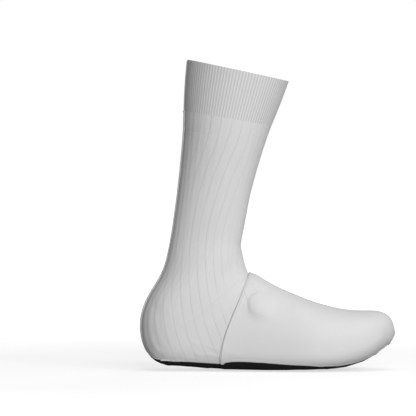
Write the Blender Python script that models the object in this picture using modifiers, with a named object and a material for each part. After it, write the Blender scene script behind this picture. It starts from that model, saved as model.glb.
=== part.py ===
"""Cycling overshoe for the right foot: a ribbed cuff, a striped knit leg, a smooth front cover,
a black sole panel and the two raised seams, as separate walls with the hollow of a shod foot.

Metres. X runs from heel to toe, Z up, and the outer side of the foot faces -Y.
"""

import math

import bpy
import numpy as np

# Main sizes
FOOT_LENGTH = 0.290        # back of the heel to the tip of the toe
OVERALL_HEIGHT = 0.3535    # lowest point of the sole to the back of the cuff's top edge
ANKLE_HEIGHT = 0.1445      # narrowest section of the leg
INSTEP_HEIGHT = 0.1090     # front of the leg, where the front cover begins
CUFF_HEIGHT = 0.058
CUFF_DEPTH = 0.1146        # front to back at the top edge
CUFF_WIDTH = 0.104
CUFF_DROP = 0.0246         # how much lower the front of the top edge is than its back
CUFF_LEAN = 0.0198         # how far the back of the cuff is ahead of the back of the ankle
ANKLE_DEPTH = 0.0803
ANKLE_WIDTH = 0.0545
HEEL_SETBACK = 0.0335      # back of the heel to the back of the ankle
HEEL_WIDTH = 0.072
HEEL_LIFT = 0.0044         # sole under the heel, above the sole under the ball
INSTEP_REACH = 0.0088      # front of the ankle to the front end of the leg
SEAM_FOOT = 0.0882         # back of the heel to the lower end of the front cover's seam
BALL_WIDTH = 0.100
TOE_SPRING = 0.0310        # height of the sole's front end
SOLE_TURN_UP = 0.0052      # how far the sole panel is turned up round the foot
SEAM_BOW = 0.0060          # how far the front cover's seam bows towards the heel

# Walls and clearances
CUFF_WALL = 0.0016
LEG_WALL = 0.0012
COVER_WALL = 0.0013
SOLE_WALL = 0.0015
GAP = 0.0004               # clear space between neighbouring pieces

# Ribs of the cuff
RIB_COUNT = 96
RIB_DEPTH = 0.0005

# Raised strips
BACK_SEAM_WIDTH = 0.0062
BACK_SEAM_THICKNESS = 0.0008
COVER_EDGE_THICKNESS = 0.0011
COVER_EDGE_WIDTH = 0.0050
COVER_EDGE_OFFSET = 0.0028  # seam to the strip, at the sole

# Openings in the sole
HEEL_OPENING_X = 0.1793 * FOOT_LENGTH
HEEL_OPENING_LENGTH = 0.1517 * FOOT_LENGTH
HEEL_OPENING_WIDTH = 0.472 * HEEL_WIDTH
CLEAT_OPENING_X = 0.6586 * FOOT_LENGTH
CLEAT_OPENING_LENGTH = 0.2069 * FOOT_LENGTH
CLEAT_OPENING_WIDTH = 0.54 * BALL_WIDTH
OPENING_ROUNDING = 3       # 2 is an ellipse, more is squarer
OPENING_POINTS = 28

# Lacing dial felt through the front cover, on its outer side
DIAL_X = 0.4621 * FOOT_LENGTH
DIAL_Z = 0.6743 * INSTEP_HEIGHT
DIAL_RADIUS = 0.0165
DIAL_HEIGHT = 0.0032

# The foot's seat, where the part's origin is
SEAT_X = 0.4207 * FOOT_LENGTH

# Mesh
HALF_COLUMNS = 18          # columns on each side of a panel, front to back
SOLE_COLUMNS = 8
EDGE_STEP = 0.0022         # width of the last column along an edge
OUTLINE_SAMPLES = 181
STATION_SAMPLES = 121
CALF_ROWS = 12
HEEL_ROWS = 11
ARCH_ROWS = 9
COVER_ROWS = 12
TOE_ROWS = 4
CUFF_ROWS = 3
EDGE_ROWS = 3

LEG_COLOUR = (0.60, 0.60, 0.60)
COVER_COLOUR = (0.66, 0.66, 0.66)
SOLE_COLOUR = (0.006, 0.006, 0.007)
KNIT_ROUGHNESS = 0.85
COVER_ROUGHNESS = 0.8
SOLE_ROUGHNESS = 0.7

# Leg sections, from the top edge of the cuff to the ankle. down: share of the way down. lean: share of
# CUFF_LEAN. depth and width: share of the growth from ankle to cuff. drop: share of CUFF_DROP.
# widest: share of the depth, from the front, where the section is widest.
LEG_COLUMNS = ("down", "lean", "depth", "drop", "width", "widest")
LEG_SECTIONS = (
    (0.00, 1.00, 1.00, 1.00, 1.00, 0.50),
    (0.13, 0.88, 0.83, 0.80, 0.88, 0.50),
    (0.28, 0.81, 0.53, 0.70, 0.74, 0.50),
    (0.42, 0.75, 0.30, 0.57, 0.57, 0.49),
    (0.56, 0.62, 0.14, 0.46, 0.35, 0.48),
    (0.70, 0.46, 0.03, 0.36, 0.17, 0.46),
    (0.85, 0.25, 0.00, 0.19, 0.04, 0.45),
    (0.93, 0.13, -0.01, 0.06, 0.00, 0.445),
    (1.00, 0.00, 0.00, 0.00, 0.00, 0.44),
)

# Sections that fan out from the instep down the back of the heel. reach and down: the front end's
# share of the way from the ankle to the instep. back: share of HEEL_SETBACK. height: share of
# ANKLE_HEIGHT. width: share of the growth from ankle to heel.
HEEL_COLUMNS = ("reach", "down", "back", "height", "width", "widest", "front_power", "back_power")
HEEL_SECTIONS = (
    (0.06, 0.20, 0.79, 0.800, 0.30, 0.46, 2.0, 2.0),
    (0.25, 0.45, 0.45, 0.655, 0.60, 0.50, 2.0, 2.1),
    (0.49, 0.68, 0.13, 0.515, 0.84, 0.54, 2.0, 2.2),
    (0.67, 0.81, 0.00, 0.390, 0.97, 0.57, 2.08, 2.3),
    (0.79, 0.89, 0.02, 0.272, 1.00, 0.59, 2.17, 2.4),
    (0.86, 0.935, 0.12, 0.190, 0.99, 0.61, 2.26, 2.5),
    (0.90, 0.955, 0.24, 0.136, 0.98, 0.62, 2.32, 2.6),
)

# Sections whose lower end is on the sole, from the back edge of the sole panel to the seam.
# reach and down: as above. along: share of SEAM_FOOT. lift: share of HEEL_LIFT. width: share of
# HEEL_WIDTH. turn: share of SOLE_TURN_UP. bow: share of SEAM_BOW.
ARCH_COLUMNS = ("reach", "down", "along", "lift", "width", "widest", "front_power", "back_power",
                "turn", "bow")
ARCH_SECTIONS = (
    (0.925, 0.965, 0.140, 2.90, 0.975, 0.63, 2.36, 2.7, 0.30, 0.00),
    (0.945, 0.973, 0.225, 1.85, 0.965, 0.64, 2.38, 2.8, 0.76, 0.06),
    (0.960, 0.980, 0.330, 1.20, 0.955, 0.65, 2.38, 2.9, 1.08, 0.18),
    (0.975, 0.988, 0.500, 0.85, 0.950, 0.67, 2.30, 3.0, 1.16, 0.42),
    (0.988, 0.994, 0.730, 0.60, 0.970, 0.69, 2.20, 3.1, 1.00, 0.74),
    (1.000, 1.000, 1.000, 0.35, 1.010, 0.70, 2.12, 3.2, 0.82, 1.00),
)

# Sections of the front cover, from the seam to the toe. top and bottom: share of the way from the
# seam to the tip. height: share of INSTEP_HEIGHT. spring: share of TOE_SPRING. side and shift:
# half width and offset to the inner side, as shares of BALL_WIDTH. turn: share of SOLE_TURN_UP.
# bow: share of SEAM_BOW.
COVER_COLUMNS = ("top", "bottom", "height", "spring", "side", "shift", "widest", "front_power",
                 "back_power", "turn", "bow")
COVER_SECTIONS = (
    (0.022, 0.040, 1.016, 0.02, 0.373, -0.003, 0.70, 2.1, 3.2, 0.84, 0.95),
    (0.072, 0.115, 0.980, 0.02, 0.388, -0.006, 0.70, 2.1, 3.2, 0.90, 0.75),
    (0.164, 0.220, 0.894, 0.00, 0.418, -0.010, 0.70, 2.1, 3.2, 0.88, 0.45),
    (0.288, 0.352, 0.809, 0.00, 0.460, -0.010, 0.69, 2.1, 3.2, 0.68, 0.20),
    (0.418, 0.495, 0.727, 0.00, 0.495, -0.003, 0.67, 2.2, 3.2, 0.58, 0.05),
    (0.561, 0.636, 0.662, 0.03, 0.497, 0.030, 0.65, 2.2, 3.0, 0.44, 0.00),
    (0.698, 0.761, 0.622, 0.17, 0.458, 0.062, 0.62, 2.3, 2.8, 0.34, 0.00),
    (0.815, 0.863, 0.618, 0.45, 0.385, 0.085, 0.58, 2.3, 2.6, 0.28, 0.00),
    (0.897, 0.929, 0.606, 0.76, 0.295, 0.098, 0.54, 2.3, 2.4, 0.22, 0.00),
    (0.955, 0.972, 0.563, 0.99, 0.190, 0.104, 0.51, 2.2, 2.2, 0.00, 0.00),
    (0.984, 0.990, 0.492, 1.16, 0.105, 0.106, 0.50, 2.1, 2.1, 0.00, 0.00),
    (0.9965, 0.9980, 0.414, 1.28, 0.045, 0.106, 0.50, 2.0, 2.0, 0.00, 0.00),
)
BOW_EXPONENT = 1.6         # 1 bows evenly, more bows nearer to the sole
DIAL_EXPONENT = 1.2        # less makes the dial's top flatter
TIP_HEIGHT = 0.390 * INSTEP_HEIGHT
TIP_SHIFT = 0.106 * BALL_WIDTH

ANKLE_BACK = HEEL_SETBACK
ANKLE_FRONT = ANKLE_BACK + ANKLE_DEPTH
INSTEP_X = ANKLE_FRONT + INSTEP_REACH
LEG_DROP = OVERALL_HEIGHT - ANKLE_HEIGHT
CUFF_END = CUFF_HEIGHT / LEG_DROP - 1.0
INSTEP_DROP = ANKLE_HEIGHT - INSTEP_HEIGHT

FIELDS = ("front_x", "front_z", "back_x", "back_z", "shift", "side", "widest", "front_power",
          "back_power", "turn", "bow")


def leg_rows():
    """Absolute sections of the leg, each with its station, from -1 at the top edge to 0."""
    rows = []
    for values in LEG_SECTIONS:
        row = dict(zip(LEG_COLUMNS, values))
        back_x = ANKLE_BACK + row["lean"] * CUFF_LEAN
        back_z = OVERALL_HEIGHT - row["down"] * LEG_DROP
        depth = ANKLE_DEPTH + row["depth"] * (CUFF_DEPTH - ANKLE_DEPTH)
        width = ANKLE_WIDTH + row["width"] * (CUFF_WIDTH - ANKLE_WIDTH)
        rows.append((row["down"] - 1.0, (
            back_x + depth, back_z - row["drop"] * CUFF_DROP, back_x, back_z,
            0.0, width / 2, row["widest"], 2.0, 2.0, 0.0, 0.0)))
    return rows


def heel_rows():
    """Absolute sections down the back of the heel, at stations from 0 to 1."""
    rows = []
    for index, values in enumerate(HEEL_SECTIONS):
        row = dict(zip(HEEL_COLUMNS, values))
        width = ANKLE_WIDTH + row["width"] * (HEEL_WIDTH - ANKLE_WIDTH)
        rows.append(((index + 1) / len(HEEL_SECTIONS), (
            ANKLE_FRONT + row["reach"] * INSTEP_REACH,
            ANKLE_HEIGHT - row["down"] * INSTEP_DROP,
            row["back"] * HEEL_SETBACK, row["height"] * ANKLE_HEIGHT,
            0.0, width / 2, row["widest"], row["front_power"], row["back_power"], 0.0, 0.0)))
    return rows


def arch_rows():
    """Absolute sections from the back edge of the sole panel to the seam, at stations 1 to 2."""
    rows = []
    for index, values in enumerate(ARCH_SECTIONS):
        row = dict(zip(ARCH_COLUMNS, values))
        rows.append((1.0 + (index + 1) / len(ARCH_SECTIONS), (
            ANKLE_FRONT + row["reach"] * INSTEP_REACH,
            ANKLE_HEIGHT - row["down"] * INSTEP_DROP,
            row["along"] * SEAM_FOOT, row["lift"] * HEEL_LIFT,
            0.0, row["width"] * HEEL_WIDTH / 2, row["widest"], row["front_power"],
            row["back_power"], row["turn"] * SOLE_TURN_UP, row["bow"] * SEAM_BOW)))
    return rows


def cover_rows():
    """Absolute sections of the front cover, at stations from 2 to 3."""
    rows = []
    for index, values in enumerate(COVER_SECTIONS):
        row = dict(zip(COVER_COLUMNS, values))
        rows.append((2.0 + (index + 1) / len(COVER_SECTIONS), (
            INSTEP_X + row["top"] * (FOOT_LENGTH - INSTEP_X), row["height"] * INSTEP_HEIGHT,
            SEAM_FOOT + row["bottom"] * (FOOT_LENGTH - SEAM_FOOT), row["spring"] * TOE_SPRING,
            row["shift"] * BALL_WIDTH, row["side"] * BALL_WIDTH, row["widest"],
            row["front_power"], row["back_power"], row["turn"] * SOLE_TURN_UP,
            row["bow"] * SEAM_BOW)))
    return rows


ROWS = leg_rows() + heel_rows() + arch_rows() + cover_rows()
ROW_STATIONS = np.array([row[0] for row in ROWS])
ROW_VALUES = np.array([row[1] for row in ROWS])

# The back edge of the sole panel is at the last heel section, its front end at the first cover
# section that isn't turned up.
SOLE_START = 1
SEAM = SOLE_START + 1
TURN = COVER_COLUMNS.index("turn")
SOLE_END = SEAM + (1 + [row[TURN] for row in COVER_SECTIONS].index(0.0)) / len(COVER_SECTIONS)


def section_at(station):
    """The section at a station, on a smooth curve through the rows of the tables."""
    last = len(ROW_STATIONS) - 1
    low = int(np.clip(np.searchsorted(ROW_STATIONS, station, side="right") - 1, 0, last - 1))
    high = low + 1
    step = ROW_STATIONS[high] - ROW_STATIONS[low]
    share = (station - ROW_STATIONS[low]) / step

    def slope(index):
        before = max(index - 1, 0)
        after = min(index + 1, last)
        run = ROW_STATIONS[after] - ROW_STATIONS[before]
        return (ROW_VALUES[after] - ROW_VALUES[before]) / run * step

    values = ((2 * share ** 3 - 3 * share ** 2 + 1) * ROW_VALUES[low]
              + (share ** 3 - 2 * share ** 2 + share) * slope(low)
              + (3 * share ** 2 - 2 * share ** 3) * ROW_VALUES[high]
              + (share ** 3 - share ** 2) * slope(high))
    section = dict(zip(FIELDS, values))
    if SOLE_START < station < SOLE_END:
        section["turn"] = max(section["turn"], GAP)
    else:
        section["turn"] = 0.0
    return section


def half_outline(section, hand):
    """Dense points from the front of a section to its back, on the outer (-1) or inner (+1) side."""
    angle = np.linspace(0.0, math.pi, OUTLINE_SAMPLES)
    cosine = np.cos(angle)
    front = cosine >= 0.0
    power = np.where(front, section["front_power"], section["back_power"])
    reach = np.abs(cosine) ** (2.0 / power)
    widest = section["widest"]
    along = np.where(front, widest - widest * reach, widest + (1.0 - widest) * reach)
    out = section["side"] * np.abs(np.sin(angle)) ** (2.0 / power)
    bow = section["bow"] * np.sin(math.pi * along ** BOW_EXPONENT)
    return np.column_stack((
        section["front_x"] + along * (section["back_x"] - section["front_x"]) - bow,
        section["shift"] + hand * out,
        section["front_z"] + along * (section["back_z"] - section["front_z"])))


def arc_lengths(points):
    steps = np.linalg.norm(np.diff(points, axis=0), axis=1)
    return np.concatenate(([0.0], np.cumsum(steps)))


def points_at(points, arcs, distances):
    return np.column_stack([np.interp(distances, arcs, points[:, axis]) for axis in range(3)])


def edge_distance(section, points, arcs):
    """How far along the half outline the edge of the sole panel lies."""
    if section["turn"] <= 0.0:
        return arcs[-1]
    level = section["back_z"] + section["turn"]
    above = np.nonzero(points[:, 2] >= level)[0][-1]
    rise = points[above, 2] - points[above + 1, 2]
    share = (points[above, 2] - level) / rise
    return arcs[above] + share * (arcs[above + 1] - arcs[above])


def with_dial(points):
    """Raises the outer side of the front cover over the lacing dial."""
    offset = np.hypot(points[:, 0] - DIAL_X, points[:, 2] - DIAL_Z) / DIAL_RADIUS
    bump = np.cos(np.minimum(offset, 1.0) * math.pi / 2) ** DIAL_EXPONENT
    raised = points.copy()
    raised[:, 1] -= np.where(points[:, 1] < 0.0, DIAL_HEIGHT * bump, 0.0)
    return raised


def panel_half(station, hand, inset=0.0):
    """Points of one side of an upper panel, from its front to the sole panel's edge or its back."""
    section = section_at(station)
    points = half_outline(section, hand)
    arcs = arc_lengths(points)
    stop = edge_distance(section, points, arcs)
    if section["turn"] > 0.0:
        stop -= inset
    distances = np.append(np.linspace(0.0, stop - EDGE_STEP, HALF_COLUMNS), stop)
    return with_dial(points_at(points, arcs, distances))


def sole_strip(station, inset):
    """Points across the sole panel, from its outer edge under the foot to its inner edge."""
    section = section_at(station)
    halves = []
    for hand in (-1, 1):
        points = half_outline(section, hand)
        arcs = arc_lengths(points)
        start = edge_distance(section, points, arcs) + inset
        room = arcs[-1] - start
        steps = np.linspace(min(EDGE_STEP, room / SOLE_COLUMNS), room, SOLE_COLUMNS)
        distances = start + np.concatenate(([0.0], steps))
        halves.append(points_at(points, arcs, distances))
    outer, inner = halves
    return np.vstack((outer, inner[-2::-1]))


def add_object(name, verts, faces, colour, roughness, collection):
    mesh = bpy.data.meshes.new(name)
    mesh.from_pydata([tuple(vert) for vert in verts], [], faces)
    mesh.validate()
    mesh.shade_smooth()
    material = bpy.data.materials.new(name)
    material.use_nodes = True
    shader = material.node_tree.nodes["Principled BSDF"]
    shader.inputs["Base Color"].default_value = (*colour, 1.0)
    shader.inputs["Roughness"].default_value = roughness
    shader.inputs["Metallic"].default_value = 0.0
    mesh.materials.append(material)
    piece = bpy.data.objects.new(name, mesh)
    collection.objects.link(piece)
    return piece


def add_wall(piece, thickness, offset=-1.0):
    """Thickens an open surface, inwards by default."""
    wall = piece.modifiers.new("Wall", "SOLIDIFY")
    wall.thickness = thickness
    wall.offset = offset
    wall.use_even_offset = True
    wall.use_quality_normals = True


def lift_off(piece, distance):
    """Moves a surface outwards, clear of what it lies on."""
    lift = piece.modifiers.new("Lift", "DISPLACE")
    lift.direction = "NORMAL"
    lift.mid_level = 0.0
    lift.strength = distance


def upper_panel(stations, inset, ends=(0.0, 0.0)):
    """Vertices and faces of a tube through the stations, which is open along the sole's edge.

    ends moves the first and the last section along the foot, square to their planes.
    """
    verts = []
    rings = []
    for number, station in enumerate(stations):
        section = section_at(station)
        outer = panel_half(station, -1, inset)
        inner = panel_half(station, 1, inset)
        slant = np.array((section["back_x"] - section["front_x"], 0.0,
                          section["back_z"] - section["front_z"]))
        forward = np.array((-slant[2], 0.0, slant[0])) / np.linalg.norm(slant)
        push = 0.0
        if number == 0:
            push = ends[0]
        if number == len(stations) - 1:
            push = ends[1]
        outer = outer + push * forward
        inner = inner + push * forward
        closed = section["turn"] <= 0.0
        start = len(verts)
        verts.extend(outer)
        outer_ids = list(range(start, start + len(outer)))
        inner_ids = [outer_ids[0]]
        for point in inner[1:-1]:
            inner_ids.append(len(verts))
            verts.append(point)
        if closed:
            inner_ids.append(outer_ids[-1])
        else:
            inner_ids.append(len(verts))
            verts.append(inner[-1])
        rings.append((outer_ids, inner_ids))
    faces = []
    for (outer_a, inner_a), (outer_b, inner_b) in zip(rings, rings[1:]):
        for column in range(len(outer_a) - 1):
            faces.append((outer_a[column], outer_a[column + 1], outer_b[column + 1], outer_b[column]))
            faces.append((inner_a[column], inner_b[column], inner_b[column + 1], inner_a[column + 1]))
    return verts, faces, rings


def spread(start, stop, count):
    return list(np.linspace(start, stop, count))


def leg_stations():
    """Stations of the leg panel: down the calf, round the heel and along the arch."""
    calf = spread(CUFF_END + GAP / LEG_DROP, 0.0, CALF_ROWS)
    heel = spread(0.0, SOLE_START, HEEL_ROWS)
    return calf + heel[1:] + arch_stations()[1:]


def arch_stations():
    return spread(SOLE_START, SEAM, ARCH_ROWS)


def edge_stations():
    """Stations of the strip along the front cover's seam, from its sizes at the sole."""
    step = (SOLE_END - SEAM) / STATION_SAMPLES
    pace = (section_at(SEAM + step)["back_x"] - section_at(SEAM)["back_x"]) / step
    start = SEAM + COVER_EDGE_OFFSET / pace
    return spread(start, start + COVER_EDGE_WIDTH / pace, EDGE_ROWS)


def cover_stations():
    edge = edge_stations()
    return [SEAM] + edge + spread(edge[-1], SOLE_END, COVER_ROWS)[1:]


def toe_stations():
    return spread(SOLE_END, ROW_STATIONS[-1], TOE_ROWS)


def add_cuff(collection):
    count = 2 * RIB_COUNT
    verts = []
    for station in spread(-1.0, CUFF_END, CUFF_ROWS):
        section = section_at(station)
        outer = half_outline(section, -1)
        inner = half_outline(section, 1)
        loop = np.vstack((outer, inner[-2::-1]))
        arcs = arc_lengths(loop)
        turns = np.linspace(0.0, arcs[-1], count, endpoint=False)
        ring = points_at(loop, arcs, turns)
        reach = arcs[-1] / count / 4
        ahead = points_at(loop, arcs, (turns + reach) % arcs[-1])
        behind = points_at(loop, arcs, (turns - reach) % arcs[-1])
        tangent = ahead - behind
        slant = np.array((section["back_x"] - section["front_x"], 0.0,
                          section["back_z"] - section["front_z"]))
        plane = np.array((-slant[2], 0.0, slant[0]))
        outward = np.cross(plane, tangent)
        outward = outward / np.linalg.norm(outward, axis=1)[:, None]
        middle = ring.mean(axis=0)
        facing = np.sign(np.sum(outward * (ring - middle), axis=1))[:, None]
        height = np.where(np.arange(count) % 2 == 0, 0.5, -0.5)[:, None] * RIB_DEPTH
        verts.extend(ring + outward * facing * height)
    faces = []
    for row in range(CUFF_ROWS - 1):
        for column in range(count):
            after = (column + 1) % count
            faces.append((row * count + column, row * count + after,
                          (row + 1) * count + after, (row + 1) * count + column))
    piece = add_object("cuff", verts, faces, LEG_COLOUR, KNIT_ROUGHNESS, collection)
    add_wall(piece, CUFF_WALL)


def add_leg_panel(collection):
    verts, faces, _ = upper_panel(leg_stations(), GAP / 2, ends=(0.0, -GAP / 2))
    piece = add_object("leg_panel", verts, faces, LEG_COLOUR, KNIT_ROUGHNESS, collection)
    add_wall(piece, LEG_WALL)


def add_front_cover(collection):
    stations = cover_stations() + toe_stations()[1:]
    verts, faces, rings = upper_panel(stations, GAP / 2, ends=(GAP / 2, 0.0))
    tip = len(verts)
    verts.append(np.array((FOOT_LENGTH, TIP_SHIFT, TIP_HEIGHT)))
    outer, inner = rings[-1]
    for column in range(len(outer) - 1):
        faces.append((outer[column], outer[column + 1], tip))
        faces.append((inner[column], tip, inner[column + 1]))
    piece = add_object("vamp_panel", verts, faces, COVER_COLOUR, COVER_ROUGHNESS, collection)
    add_wall(piece, COVER_WALL)


def add_cover_edge(collection):
    """The folded edge of the front cover, lying on it along the seam."""
    verts, faces, _ = upper_panel(edge_stations(), GAP / 2)
    piece = add_object("vamp_edge", verts, faces, COVER_COLOUR, COVER_ROUGHNESS, collection)
    lift_off(piece, GAP)
    add_wall(piece, COVER_EDGE_THICKNESS, offset=1.0)


def add_back_seam(collection):
    """The raised strip down the middle of the back."""
    stations = spread(-1.0, CUFF_END, CUFF_ROWS) + [s for s in leg_stations() if s <= SOLE_START]
    verts = []
    for station in stations:
        section = section_at(station)
        strip = []
        for hand in (-1, 1):
            points = half_outline(section, hand)
            arcs = arc_lengths(points)
            middle = arcs[-1]
            strip.append(points_at(points, arcs, np.array((middle - BACK_SEAM_WIDTH / 2, middle))))
        verts.extend((strip[0][0], strip[0][1], strip[1][0]))
    faces = []
    for row in range(len(stations) - 1):
        for column in range(2):
            low = 3 * row + column
            faces.append((low, low + 1, low + 4, low + 3))
    piece = add_object("back_seam", verts, faces, LEG_COLOUR, KNIT_ROUGHNESS, collection)
    lift_off(piece, RIB_DEPTH / 2 + GAP)
    add_wall(piece, BACK_SEAM_THICKNESS, offset=1.0)


def add_opening_cutter(name, middle_x, length, width, cutters):
    """An upright prism with a rounded outline that passes through the sole."""
    angles = np.linspace(0.0, 2 * math.pi, OPENING_POINTS, endpoint=False)
    reach = 2.0 / OPENING_ROUNDING
    cosine, sine = np.cos(angles), np.sin(angles)
    xs = middle_x + length / 2 * np.sign(cosine) * np.abs(cosine) ** reach
    ys = width / 2 * np.sign(sine) * np.abs(sine) ** reach
    bottom = [(x, y, -TOE_SPRING) for x, y in zip(xs, ys)]
    top = [(x, y, TOE_SPRING) for x, y in zip(xs, ys)]
    faces = [tuple(reversed(range(OPENING_POINTS))),
             tuple(range(OPENING_POINTS, 2 * OPENING_POINTS))]
    for index in range(OPENING_POINTS):
        after = (index + 1) % OPENING_POINTS
        faces.append((index, after, OPENING_POINTS + after, OPENING_POINTS + index))
    mesh = bpy.data.meshes.new(name)
    mesh.from_pydata(bottom + top, [], faces)
    cutter = bpy.data.objects.new(name, mesh)
    cutter.hide_render = True
    cutter.display_type = "WIRE"
    cutters.objects.link(cutter)
    return cutter


def add_sole_panel(collection, cutters):
    stations = arch_stations()[1:] + cover_stations()[1:-1]
    strips = [sole_strip(station, GAP / 2) for station in stations]
    width = len(strips[0])
    start = section_at(SOLE_START)
    after = section_at(stations[0])
    end = section_at(SOLE_END)
    before = section_at(stations[-1])

    def pole(at_end, beside):
        edge = np.array((at_end["back_x"], at_end["shift"], at_end["back_z"]))
        inside = np.array((beside["back_x"], beside["shift"], beside["back_z"]))
        way = inside - edge
        return edge + way / np.linalg.norm(way) * GAP * 1.5

    verts = [pole(start, after)]
    for strip in strips:
        verts.extend(strip)
    verts.append(pole(end, before))
    last = len(verts) - 1
    faces = []
    for column in range(width - 1):
        faces.append((0, 2 + column, 1 + column))
    for row in range(len(strips) - 1):
        for column in range(width - 1):
            low = 1 + row * width + column
            faces.append((low, low + 1, low + width + 1, low + width))
    low = 1 + (len(strips) - 1) * width
    for column in range(width - 1):
        faces.append((low + column, low + column + 1, last))
    piece = add_object("sole_panel", verts, faces, SOLE_COLOUR, SOLE_ROUGHNESS, collection)
    add_wall(piece, SOLE_WALL)
    openings = (
        add_opening_cutter("heel_opening_cutter", HEEL_OPENING_X, HEEL_OPENING_LENGTH,
                           HEEL_OPENING_WIDTH, cutters),
        add_opening_cutter("cleat_opening_cutter", CLEAT_OPENING_X, CLEAT_OPENING_LENGTH,
                           CLEAT_OPENING_WIDTH, cutters),
    )
    for cutter in openings:
        cut = piece.modifiers.new(cutter.name, "BOOLEAN")
        cut.operation = "DIFFERENCE"
        cut.object = cutter


def seat_on_origin(collection, cutters):
    """Puts the origin on the inner face of the sole panel, between its two openings."""
    seat = bpy.data.objects.new("shoe_seat", None)
    collection.objects.link(seat)
    stations = np.linspace(SOLE_START, SOLE_END, STATION_SAMPLES)
    bottoms = [section_at(station) for station in stations]
    level = np.interp(SEAT_X, [b["back_x"] for b in bottoms], [b["back_z"] for b in bottoms])
    seat.location = (-SEAT_X, 0.0, -(level + SOLE_WALL))
    for piece in list(collection.objects) + list(cutters.objects):
        if piece is not seat:
            piece.parent = seat


def main():
    for piece in list(bpy.data.objects):
        bpy.data.objects.remove(piece, do_unlink=True)
    collection = bpy.data.collections.new("cycling_overshoe")
    cutters = bpy.data.collections.new("cutters")
    for group in (collection, cutters):
        bpy.context.scene.collection.children.link(group)
    add_cuff(collection)
    add_leg_panel(collection)
    add_front_cover(collection)
    add_cover_edge(collection)
    add_back_seam(collection)
    add_sole_panel(collection, cutters)
    seat_on_origin(collection, cutters)
    bpy.context.view_layer.update()


main()
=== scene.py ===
import math

import bmesh
import bpy
import numpy as np
from mathutils import Matrix, Vector
from mathutils.bvhtree import BVHTree


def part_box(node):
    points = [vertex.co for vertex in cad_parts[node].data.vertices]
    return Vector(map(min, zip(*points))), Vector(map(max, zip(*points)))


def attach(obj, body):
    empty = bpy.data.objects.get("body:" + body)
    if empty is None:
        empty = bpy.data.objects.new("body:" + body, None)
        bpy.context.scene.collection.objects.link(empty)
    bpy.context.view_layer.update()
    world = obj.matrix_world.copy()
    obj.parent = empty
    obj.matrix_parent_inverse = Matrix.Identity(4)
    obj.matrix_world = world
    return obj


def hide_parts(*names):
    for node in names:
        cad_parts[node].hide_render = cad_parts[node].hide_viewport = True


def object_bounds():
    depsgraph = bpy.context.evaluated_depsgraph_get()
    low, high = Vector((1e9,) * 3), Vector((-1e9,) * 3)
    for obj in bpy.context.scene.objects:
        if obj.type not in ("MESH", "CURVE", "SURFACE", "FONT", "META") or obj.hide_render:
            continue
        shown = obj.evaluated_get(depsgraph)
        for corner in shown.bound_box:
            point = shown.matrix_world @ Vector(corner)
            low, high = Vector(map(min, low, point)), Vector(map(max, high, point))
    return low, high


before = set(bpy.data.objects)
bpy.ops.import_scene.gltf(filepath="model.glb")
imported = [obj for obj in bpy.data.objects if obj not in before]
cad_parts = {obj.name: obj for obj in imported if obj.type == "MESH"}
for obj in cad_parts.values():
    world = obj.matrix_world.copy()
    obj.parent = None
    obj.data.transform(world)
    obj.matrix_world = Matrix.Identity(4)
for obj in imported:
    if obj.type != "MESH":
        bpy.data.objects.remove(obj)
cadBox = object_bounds()
bpy.ops.object.select_all(action="DESELECT")

mm = 0.001
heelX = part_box("leg_panel")[0].x      # back of the heel
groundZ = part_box("sole_panel")[0].z   # lowest point of the sole


def footMm(points):
    # along the foot from the heel, and height above the ground, in mm
    return (points[:, 0] - heelX) / mm, (points[:, 2] - groundZ) / mm


layers = {"weld": 1e-6, "sharp": math.radians(62), "down": -0.1, "passes": 3,
          "smoothAngle": math.radians(50)}


def outerLayer(node, name, join=60, underside=False):
    # the outer face of a CAD wall as quads: its largest region without a sharp edge.
    # The sole's is what faces down, kept as triangles
    cage = bmesh.new()
    cage.from_mesh(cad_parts[node].data)
    bmesh.ops.remove_doubles(cage, verts=cage.verts, dist=layers["weld"])
    cage.normal_update()
    left = set(cage.faces)
    largest, largestArea = [], 0.0
    while left:
        region = [left.pop()]
        for face in region:
            for edge in face.edges:
                if len(edge.link_faces) != 2 or edge.calc_face_angle() > layers["sharp"]:
                    continue
                for other in edge.link_faces:
                    if other in left:
                        left.remove(other)
                        region.append(other)
        area = sum(face.calc_area() for face in region)
        if area > largestArea:
            largest, largestArea = set(region), area
    if underside:
        largest = {face for face in cage.faces if face.normal.z < layers["down"]}
    spare = [face for face in cage.faces if face not in largest]
    bmesh.ops.delete(cage, geom=spare, context="FACES")
    if not underside:
        bmesh.ops.join_triangles(cage, faces=cage.faces, angle_shape_threshold=math.pi,
                                 angle_face_threshold=math.radians(join))
    mesh = bpy.data.meshes.new(name)
    cage.to_mesh(mesh)
    cage.free()
    piece = bpy.data.objects.new(name, mesh)
    bpy.context.collection.objects.link(piece)
    threes = sum(len(face.vertices) == 3 for face in mesh.polygons)
    print(name, "cage:", len(mesh.polygons), "faces,", threes, "triangles")
    return piece


def applyAll(piece):
    bpy.context.view_layer.objects.active = piece
    for modifier in list(piece.modifiers):
        with bpy.context.temp_override(object=piece, active_object=piece):
            bpy.ops.object.modifier_apply(modifier=modifier.name)


def subdivide(piece, levels, flat=False):
    # rounds the cage, first moved so that the round surface passes through the CAD's points
    modifier = piece.modifiers.new("Round", "SUBSURF")
    modifier.levels = modifier.render_levels = levels
    if flat:
        modifier.subdivision_type = "SIMPLE"
        applyAll(piece)
        return
    modifier.levels = modifier.render_levels = 1
    modifier.boundary_smooth = "PRESERVE_CORNERS"
    target = coordinates(piece)
    for _ in range(layers["passes"]):
        smoothed = piece.evaluated_get(bpy.context.evaluated_depsgraph_get()).data
        reached = np.empty(3 * len(smoothed.vertices))
        smoothed.vertices.foreach_get("co", reached)
        values = coordinates(piece) + target - reached.reshape(-1, 3)[:len(target)]
        piece.data.vertices.foreach_set("co", values.ravel())
        piece.data.update()
    modifier.levels = modifier.render_levels = levels
    applyAll(piece)


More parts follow.
